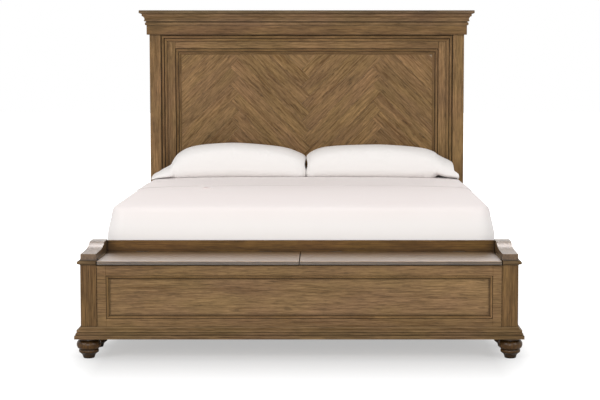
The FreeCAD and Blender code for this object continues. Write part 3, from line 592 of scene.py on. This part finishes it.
def restHeight(x, y):
    # height of the bare mattress under a place
    inset = min(bed["halfWide"] - abs(x), bed["halfLong"] - abs(y - bed["middle"]))
    if inset >= bed["border"]:
        return bedPoint(x, y - bed["middle"], 0.0)[2]
    for (i0, d0), (i1, d1) in zip(bed["edge"], bed["edge"][1:]):
        if inset >= i1 and i0 > i1:
            return bed["top"] - d0 - (d1 - d0) * (i0 - inset) / (i0 - i1)
    return bed["top"] - bed["edge"][-2][1]


def marks(*stops):
    # places from the first stop to the last, each stop giving the spacing that follows it
    places = []
    for (start, spacing), (end, _) in zip(stops, stops[1:]):
        count = max(1, round((end - start) / spacing))
        places += [start + (end - start) * step / count for step in range(count)]
    return places + [stops[-1][0]]


def clothGrid(name, columns, rows, place):
    # a grid of cloth, each point put where place says
    bpy.ops.object.select_all(action="DESELECT")
    bpy.ops.mesh.primitive_grid_add(x_subdivisions=len(columns) - 1, y_subdivisions=len(rows) - 1, size=1)
    piece = finished(name)
    points = piece.data.vertices
    for index, point in enumerate(points):
        row, column = divmod(index, len(columns))
        point.co = place(columns[column], rows[row])
    only(piece)
    bpy.ops.object.shade_smooth()
    return piece


def mattressPiece():
    # rings of a rounded box, from the middle of the top outwards and down
    rings = []
    skin = bed["skin"]
    for share in bed["topShares"]:
        rings.append([bedPoint(x * share, y * share, -skin) for x, y in roundedBox(bed["topCorner"])])
    for _, out, drop in bedEdge:
        level = bed["top"] - drop - skin
        outline = roundedBox(bed["edgeCorner"] + out, out)
        rings.append([(x, bed["middle"] + y, level) for x, y in outline])
    rings.append([(x, y, bed["bottom"]) for x, y, _ in rings[-1]])
    piece = surface("mattressBody", list(reversed(rings)), closed=True, caps=True)
    dress(piece, finishes["ticking"])
    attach(piece, "bed")
    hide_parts("mattress")


def roundedBox(corner, out=0.0):
    # a rounded rectangle round the inner border, moved out
    points = []
    steps, sides = bed["cornerSteps"], bed["sideSteps"]
    halfX, halfY = bed["innerX"] + out - corner, bed["innerY"] + out - corner
    for quarter, (sideX, sideY) in enumerate(((1, 1), (-1, 1), (-1, -1), (1, -1))):
        for step in range(steps + 1):
            angle = pi / 2 * (quarter + step / steps)
            points.append((sideX * halfX + corner * cos(angle), sideY * halfY + corner * sin(angle)))
        for step in range(1, sides):
            share = step / sides
            if quarter % 2 == 0:
                points.append((sideX * halfX * (1 - 2 * share), sideY * (halfY + corner)))
            else:
                points.append((sideX * (halfX + corner), sideY * halfY * (1 - 2 * share)))
    return points


sheets = {
    "thick": 0.001, "fittedGrow": 0.0015, "topGrow": 0.0032,
    "reach": 0.39,                  # from the border over the edge to the hem
    "fold": 0.511, "band": 0.382,   # where the top sheet turns back, and how far it reaches then
    "layer": 0.0012, "nose": 0.004, "hem": 0.025, "hemThick": 0.0005, "hemDrop": 0.6,
    "ripple": 0.0012, "rippleRate": (2.1, 2.6),
    "crossFold": 0.003, "crossRate": (1.3, 26.0), "crossFrom": -0.1, "crossTo": 0.66,
    "calm": 0.03,                   # past the border, over which the cloth comes to lie even
    "pucker": (-0.542, -0.024), "puckerHigh": 0.011, "puckerWide": 0.027, "puckerDeep": 0.009,
    "puckerLip": 0.027,             # how far it leans towards the foot
    # spacing of the cloth's points on the top, over the curve of the edge, and down the sides
    "onTop": 0.032, "onCurve": 0.007, "curve": 0.12, "onSide": 0.026,
    # and on the top sheet, before the pucker, along it, beyond it and at the hem
    "rowsBefore": 0.03, "rowsAlong": 0.003, "puckerReach": 0.03, "rowsBeyond": 0.014, "rowsHem": 0.005,
    "hemReach": 0.03, "columnsAcross": 0.0075, "columnsEachSide": 8, "clearOf": 0.065,
}


def clothLift(x, y):
    # slow unevenness, cross folds before the pillows, and one small pucker
    rateX, rateY = sheets["rippleRate"]
    lift = sheets["ripple"] * mathutils.noise.noise(Vector((x * rateX, y * rateY, 3.0)))
    share = (y - sheets["crossFrom"]) / (sheets["crossTo"] - sheets["crossFrom"])
    if 0 < share < 1:
        rateX, rateY = sheets["crossRate"]
        fold = mathutils.noise.noise(Vector((x * rateX, y * rateY, 7.0)))
        lift += sheets["crossFold"] * sin(pi * share) * abs(fold) * 2
    return lift + sheets["puckerHigh"] * puckerShare(x, y)


def puckerShare(x, y):
    # 1 at the top of the pucker, falling to 0 around it
    awayX = (x - sheets["pucker"][0]) / sheets["puckerWide"]
    awayY = (y - sheets["pucker"][1]) / sheets["puckerDeep"]
    return exp(-awayX ** 2 - awayY ** 2)


def finishSheet(piece, replaced=()):
    modify(piece, "SOLIDIFY", thickness=sheets["thick"], offset=-1.0)
    dress(piece, finishes["sheetCotton"])
    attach(piece, "bed")
    for name in replaced:
        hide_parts(name)


def sheetMarks(inner):
    # places from hem to hem, close together over the edge
    side = marks((0.0, sheets["onTop"]), (inner, sheets["onCurve"]),
                 (inner + sheets["curve"], sheets["onSide"]), (inner + sheets["reach"], 1))
    return [-place for place in reversed(side[1:])] + side


def fittedSheet():
    def place(across, along):
        return bedPoint(across, along, sheets["fittedGrow"])

    columns, rows = sheetMarks(bed["innerX"]), sheetMarks(bed["innerY"])
    piece = clothGrid("fittedSheet", columns, rows, place)
    finishSheet(piece, ["sheet"])


def topSheet():
    # tucked in at the foot and the sides, and turned back before the pillows
    fold = sheets["fold"] - bed["middle"]
    end = fold + sheets["band"]
    nose, layer = sheets["nose"], sheets["layer"]
    pucker = sheets["pucker"][1] - bed["middle"]
    inner = bed["innerY"]
    rows = marks((-inner - sheets["reach"], sheets["onSide"]), (-inner - sheets["curve"], sheets["onCurve"]),
                 (-inner, sheets["rowsBefore"]), (pucker - sheets["puckerReach"], sheets["rowsAlong"]),
                 (pucker + sheets["puckerReach"], sheets["rowsBeyond"]), (fold - nose, nose / 3),
                 (fold + nose, sheets["rowsBeyond"]), (end - sheets["hemReach"], sheets["rowsHem"]), (end, 1))

    def place(across, along):
        turn = (along - fold) / nose
        if abs(turn) < 1:
            y = fold - nose + nose * cos(turn * pi / 2)
            grow = layer / 2 * (1 + sin(turn * pi / 2))
        else:
            y = along if turn < 0 else 2 * fold - along
            grow = 0.0 if turn < 0 else layer
        toEdge = end - along
        if toEdge < sheets["hem"]:
            grow += sheets["hemThick"] if toEdge > 0.001 else -layer * sheets["hemDrop"]
        over = max(abs(across) - bed["innerX"], 0.0) + max(abs(y) - bed["innerY"], 0.0)
        uneven = max(0.0, 1 - over / sheets["calm"])
        grow += uneven * clothLift(across, y + bed["middle"])
        x, deep, z = bedPoint(across, y, sheets["topGrow"] + grow)
        # the pucker leans towards the foot, over its own shadow
        return x, deep - sheets["puckerLip"] * puckerShare(across, y + bed["middle"]) ** 2, z

    fine = sheets["pucker"][0]                          # closer columns across the pucker
    each, spacing = sheets["columnsEachSide"], sheets["columnsAcross"]
    columns = [column for column in sheetMarks(bed["innerX"]) if abs(column - fine) > sheets["clearOf"]]
    columns = sorted(columns + [fine + spacing * step for step in range(-each, each + 1)])
    piece = clothGrid("topSheet", columns, rows, place)
    finishSheet(piece)


mattressPiece()
fittedSheet()
topSheet()
print("mattress and sheets made")


# Pillows: a filled case that swells, and the case's open end beyond the filling
pillow = {
    "points": 64, "step": 0.012, "voxel": 0.008, "pressure": 4.0, "frames": 20,
    "cap": 0.010, "slack": 0.005, "lowSlack": 0.2,      # how far the filling may press the case out
    "round": (0.72, 0.8, 0.36), "widest": 0.4, "lean": 0.16, "clear": 0.002,
    "apart": 0.0004, "gap": (0.042, 0.108, 0.0085),     # the opening between the two: heights, half width
    "sag": 0.02,                        # how far below the bed's top the case may hang at the bed's edge
    "settled": (0.013, 0.034),          # what is below the first height lies flat, the rest follows down
    "case": 0.0012, "turning": 0.01,    # the case's own thickness, and the cloth turned in at its mouth
    "lap": 0.018, "lapOut": 0.0018, "blend": 0.035,     # where the case leaves the filling
    # each row: distance from the bed's middle, top and bottom above the sheet, half depth.
    # mouth: how far its lower part reaches past the upper, and between which shares of its height
    "left": {
        "filling": [(-0.014, 0.088, 0.004, 0.14), (-0.004, 0.101, 0.002, 0.163), (0.008, 0.112, 0.001, 0.178),
                    (0.03, 0.125, 0.0, 0.189), (0.096, 0.152, 0.0, 0.197), (0.158, 0.167, 0.0, 0.202),
                    (0.258, 0.179, 0.0, 0.203), (0.364, 0.188, 0.0, 0.2), (0.464, 0.192, 0.0, 0.198),
                    (0.576, 0.187, 0.0, 0.2), (0.657, 0.179, 0.0, 0.203), (0.713, 0.169, 0.0, 0.205),
                    (0.754, 0.155, 0.0, 0.206), (0.788, 0.134, 0.0, 0.206), (0.812, 0.105, 0.002, 0.203),
                    (0.83, 0.077, 0.004, 0.196), (0.843, 0.052, 0.01, 0.184)],
        "flange": [(0.77, 0.142, 0.0, 0.204), (0.8, 0.118, 0.0, 0.206), (0.826, 0.085, 0.0, 0.207),
                   (0.844, 0.063, 0.0, 0.206), (0.87, 0.048, 0.0, 0.204), (0.903, 0.03, 0.0, 0.202),
                   (0.929, 0.014, 0.0, 0.2), (0.945, 0.007, 0.0, 0.198)],
        "mouth": (0.0, 0.0, 1.0),
    },
    "right": {
        "filling": [(-0.014, 0.09, 0.004, 0.14), (-0.004, 0.107, 0.002, 0.163), (0.01, 0.125, 0.001, 0.179),
                    (0.03, 0.138, 0.0, 0.19), (0.06, 0.152, 0.001, 0.193), (0.116, 0.166, 0.0, 0.199),
                    (0.216, 0.175, 0.0, 0.203), (0.328, 0.179, 0.0, 0.202), (0.453, 0.181, 0.0, 0.2),
                    (0.559, 0.176, 0.0, 0.202), (0.658, 0.168, 0.0, 0.205), (0.746, 0.155, 0.004, 0.206),
                    (0.786, 0.142, 0.01, 0.205), (0.812, 0.125, 0.018, 0.2), (0.83, 0.105, 0.026, 0.19),
                    (0.843, 0.08, 0.038, 0.17)],
        "flange": [(0.77, 0.146, 0.01, 0.204), (0.812, 0.128, 0.012, 0.206), (0.83, 0.118, 0.007, 0.207),
                   (0.848, 0.109, 0.001, 0.207), (0.868, 0.099, 0.0, 0.206), (0.888, 0.09, 0.0, 0.205),
                   (0.906, 0.08, 0.0, 0.204)],
        "mouth": (0.03, 0.4, 0.53),
    },
}


def between(stops, place):
    # smooth values between stops whose first value is the place
    if place <= stops[0][0]:
        return stops[0][1:]
    for index in range(len(stops) - 1):
        if place <= stops[index + 1][0]:
            first, second = stops[index], stops[index + 1]
            before, after = stops[max(index - 1, 0)], stops[min(index + 2, len(stops) - 1)]
            gap = second[0] - first[0]
            share = (place - first[0]) / gap
            values = []
            for part in range(1, len(first)):
                slopeOne = (second[part] - before[part]) / (second[0] - before[0]) * gap
                slopeTwo = (after[part] - first[part]) / (after[0] - first[0]) * gap
                square, cube = share ** 2, share ** 3
                values.append(first[part] * (2 * cube - 3 * square + 1)
                              + slopeOne * (cube - 2 * square + share)
                              + second[part] * (3 * square - 2 * cube) + slopeTwo * (cube - square))
            return tuple(values)
    return stops[-1][1:]


def pillowRing(side, place, top, bottom, halfDepth, middleY, mouth=None, share=0.0):
    # one loop round the pillow: fuller below the middle, as a filled case settles, and resting on the bed
    ring = []
    flat, upper, lower = pillow["round"]
    widest = pillow["widest"]
    for turn in range(pillow["points"]):
        angle = 2 * pi * turn / pillow["points"]
        across = abs(cos(angle)) ** flat * (1 if cos(angle) > 0 else -1)
        if sin(angle) > 0:
            rise = widest + (1 - widest) * sin(angle) ** upper
        else:
            rise = widest - widest * abs(sin(angle)) ** lower
        y = middleY + across * halfDepth * (1 - pillow["lean"] * rise ** 2)
        x = place
        if mouth:
            skew, lowShare, highShare = mouth
            x += skew * share ** 2 * min(1.0, max(0.0, (highShare - rise) / (highShare - lowShare)))
        level = bed["top"] + pillow["clear"]
        rest = max(restHeight(x, y) + pillow["clear"], level - pillow["sag"]) + bottom
        ring.append((side * x, y, rest + rise * (level + top - rest)))
    return ring


def outwards(piece):
    only(piece)
    bpy.ops.object.mode_set(mode="EDIT")
    bpy.ops.mesh.select_all(action="SELECT")
    bpy.ops.mesh.normals_make_consistent(inside=False)
    bpy.ops.object.mode_set(mode="OBJECT")


def fillCase(piece, side):
    # the filling presses the case out. It may move only a little, and stays on the bed and on its own side
    modify(piece, "REMESH", mode="VOXEL", voxel_size=pillow["voxel"])
    start = [vertex.co.copy() for vertex in piece.data.vertices]
    cloth = piece.modifiers.new("Cloth", "CLOTH")
    cloth.settings.use_pressure = True
    cloth.settings.uniform_pressure_force = pillow["pressure"]
    cloth.settings.effector_weights.gravity = 0
    for frameNumber in range(1, pillow["frames"] + 1):
        bpy.context.scene.frame_set(frameNumber)
    only(piece)
    bpy.ops.object.modifier_apply(modifier=cloth.name)
    bpy.context.scene.frame_set(1)
    for vertex, before in zip(piece.data.vertices, start):
        move = vertex.co - before
        if move.length > pillow["cap"]:
            vertex.co = before + move.normalized() * pillow["cap"]
        rest = restHeight(vertex.co.x, vertex.co.y) + pillow["clear"]
        height = vertex.co.z - rest
        low, high, wide = pillow["gap"]         # the ends meet but for an opening at half height
        share = min(1.0, max(0.0, (height - low) / (high - low)))
        gap = pillow["apart"] + wide * 4 * share * (1 - share)
        vertex.co.x = side * max(side * vertex.co.x, gap)
        if height < pillow["settled"][1]:       # its own weight flattens the lowest part
            low, high = pillow["settled"]
            vertex.co.z = rest + max(0.0, height - low) * high / (high - low)
    modify(piece, "SUBSURF", levels=1, render_levels=1)
    only(piece)
    bpy.ops.object.shade_smooth()


def lapOver(case, body, first):
    # the case starts just inside the filled part, comes out of it at a low angle and then takes its own shape
    for vertex in case.data.vertices:
        _, spot, normal, _ = body.closest_point_on_mesh(vertex.co)
        along = abs(vertex.co.x) - first
        out = pillow["lapOut"] * min(1.0, 2 * along / pillow["lap"] - 1)
        free = min(1.0, max(0.0, (along - pillow["lap"]) / pillow["blend"]))
        place = (spot + normal * out).lerp(vertex.co, free * free * (3 - 2 * free))
        if (place - spot).dot(normal) < out:
            place = spot + normal * out
        vertex.co = place
        vertex.co.z = max(place.z, restHeight(place.x, place.y) + pillow["clear"])


def pillowPieces(side):
    word = "left" if side < 0 else "right"
    form = pillow[word]
    low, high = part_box("pillow_" + word)
    middleY = (low.y + high.y) / 2
    rings = []
    for place in marks((form["filling"][0][0], pillow["step"]), (form["filling"][-1][0], 1)):
        top, bottom, halfDepth = between(form["filling"], place)
        slack = pillow["slack"]
        rings.append(pillowRing(side, place, top - slack, bottom + slack * pillow["lowSlack"],
                                halfDepth - slack, middleY))
    body = surface("pillow" + word.title(), rings, closed=True, caps=True)
    outwards(body)
    fillCase(body, side)
    dress(body, finishes["caseCotton"])
    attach(body, "bed")
    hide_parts("pillow_" + word)
    flangeRings = []
    first, last = form["flange"][0][0], form["flange"][-1][0]
    for place in marks((first, pillow["step"] / 2), (last, 1)):
        top, bottom, halfDepth = between(form["flange"], place)
        share = (place - first) / (last - first)
        flangeRings.append(pillowRing(side, place, top, bottom, halfDepth, middleY,
                                      form["mouth"], share))
    flange = surface("pillowFlange" + word.title(), flangeRings, closed=True)
    outwards(flange)
    lapOver(flange, body, first)
    modify(flange, "SOLIDIFY", thickness=pillow["case"], offset=-1.0)
    modify(flange, "SUBSURF", levels=1, render_levels=1)
    only(flange)
    bpy.ops.object.shade_smooth()
    dress(flange, finishes["caseCotton"])
    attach(flange, "bed")


for side in (-1, 1):
    pillowPieces(side)
print("pillows filled")


# Floor, backdrop, light and camera
studio = {
    "floor": (0.82, 0.82, 0.82, 1), "floorSeen": (0.42, 0.42, 0.42, 1), "floorSize": 60.0, "sky": 0.61,
    "lift": [(0.0, 0.44), (0.3, 0.58), (0.6, 0.74), (1.6, 1.0)],    # metres from the bed, and the glow there: painted light, lowest near the bed, that shapes the soft edge of its shadow
    "sideLift": (0.93, 1.14, 0.28),                                 # painted light: more glow beside the bed, which takes away its shadow there
    "reach": (1.07, 1.245),                                         # half of the bed's width and length
}


def floorMaterial():
    # pale and matt. A camera ray sees it lifted, more so away from the bed: painted light that shapes the
    # soft edge of the bed's shadow and lightens it beside the bed. The bed's shadow stays on it
    material, tree, shader = newMaterial("paleFloor")
    rays = node(tree, "ShaderNodeLightPath")
    seen = calc(tree, "MAXIMUM", rays.outputs["Is Camera Ray"], rays.outputs["Is Transmission Ray"])
    tree.links.new(blended(tree, seen, studio["floor"], studio["floorSeen"]), shader.inputs["Base Color"])
    shader.inputs["Roughness"].default_value = 0.9
    shader.inputs["Specular IOR Level"].default_value = 0.0
    axes = axesOf(tree, objectSpace(tree))
    aside = []
    for axis, half in zip("XY", studio["reach"]):
        away = calc(tree, "SUBTRACT", calc(tree, "ABSOLUTE", axes[axis]), half)
        aside.append(calc(tree, "MAXIMUM", away, 0.0))
    away = calc(tree, "MULTIPLY_ADD", aside[0], aside[0], calc(tree, "POWER", aside[1], 2.0))
    away = calc(tree, "SQRT", away)
    # painted light: the glow grows with the distance from the bed, shaping the soft edge of its shadow
    lift = studio["lift"][0][1]
    for (near, low), (far, high) in zip(studio["lift"], studio["lift"][1:]):
        lift = calc(tree, "ADD", lift, ramp(tree, away, near, far, 0.0, high - low))
    # painted light beside the bed, where its shadow is lightened away
    start, full, most = studio["sideLift"]
    lift = calc(tree, "ADD", lift, ramp(tree, calc(tree, "ABSOLUTE", axes["X"]), start, full, 0.0, most))
    shader.inputs["Emission Color"].default_value = (1, 1, 1, 1)
    tree.links.new(calc(tree, "MULTIPLY", seen, lift), shader.inputs["Emission Strength"])
    return material


bpy.ops.object.select_all(action="DESELECT")
bpy.ops.mesh.primitive_plane_add(size=studio["floorSize"])
floor = finished("floor")
dress(floor, floorMaterial())

world = bpy.data.worlds.new("studio")
bpy.context.scene.world = world
world.use_nodes = True
tree = world.node_tree
background = tree.nodes["Background"]
rays = node(tree, "ShaderNodeLightPath")
# painted reflection: glossy rays see the backdrop as white as the camera does, brighter than the light it
# sheds on the bed
seen = calc(tree, "MAXIMUM", rays.outputs["Is Camera Ray"], rays.outputs["Is Glossy Ray"])
tree.links.new(ramp(tree, seen, 0.0, 1.0, studio["sky"], 1.0), background.inputs["Strength"])
background.inputs["Color"].default_value = (1, 1, 1, 1)

warm = (1.0, 0.93, 0.92)
lamps = {
    "leftLamp": {"place": (-6.0, -6.5, 4.0), "size": 3.0, "power": 230.0},
    "rightLamp": {"place": (6.2, -6.5, 3.8), "size": 2.6, "power": 180.0},
    "frontLamp": {"place": (-0.8, -10.5, 2.0), "size": 3.6, "power": 285.0},
    "topLamp": {"place": (0.0, 1.2, 3.9), "size": 2.4, "power": 22.0, "colour": warm},
    "backLampLeft": {"place": (-1.87, 4.4, 4.2), "size": 1.6, "power": 54.0, "colour": warm},
    "backLampRight": {"place": (1.65, 4.4, 4.2), "size": 1.6, "power": 54.0, "colour": warm},
}
aim = Vector((0, 0, 0.7))
for name, lamp in lamps.items():
    light = bpy.data.lights.new(name, "AREA")
    light.energy = lamp["power"]
    light.size = lamp["size"]
    light.color = lamp.get("colour", (1, 1, 1))
    holder = bpy.data.objects.new(name, light)
    holder.location = lamp["place"]
    holder.visible_camera = False
    holder.rotation_euler = (aim - holder.location).to_track_quat("-Z", "Y").to_euler()
    bpy.context.scene.collection.objects.link(holder)

view = {"place": (0.1419, -8.0184, 1.4345), "pitch": 4.498, "lens": 86.52, "shift": (-0.0486, -0.0472)}
lens = bpy.data.cameras.new("camera")
lens.lens = view["lens"]
lens.sensor_width = 36
lens.shift_x, lens.shift_y = view["shift"]
camera = bpy.data.objects.new("camera", lens)
camera.location = view["place"]
camera.rotation_euler = (radians(90 - view["pitch"]), 0, 0)
bpy.context.scene.collection.objects.link(camera)
bpy.context.scene.camera = camera
bpy.context.scene.view_settings.view_transform = "Standard"
print("stage set")
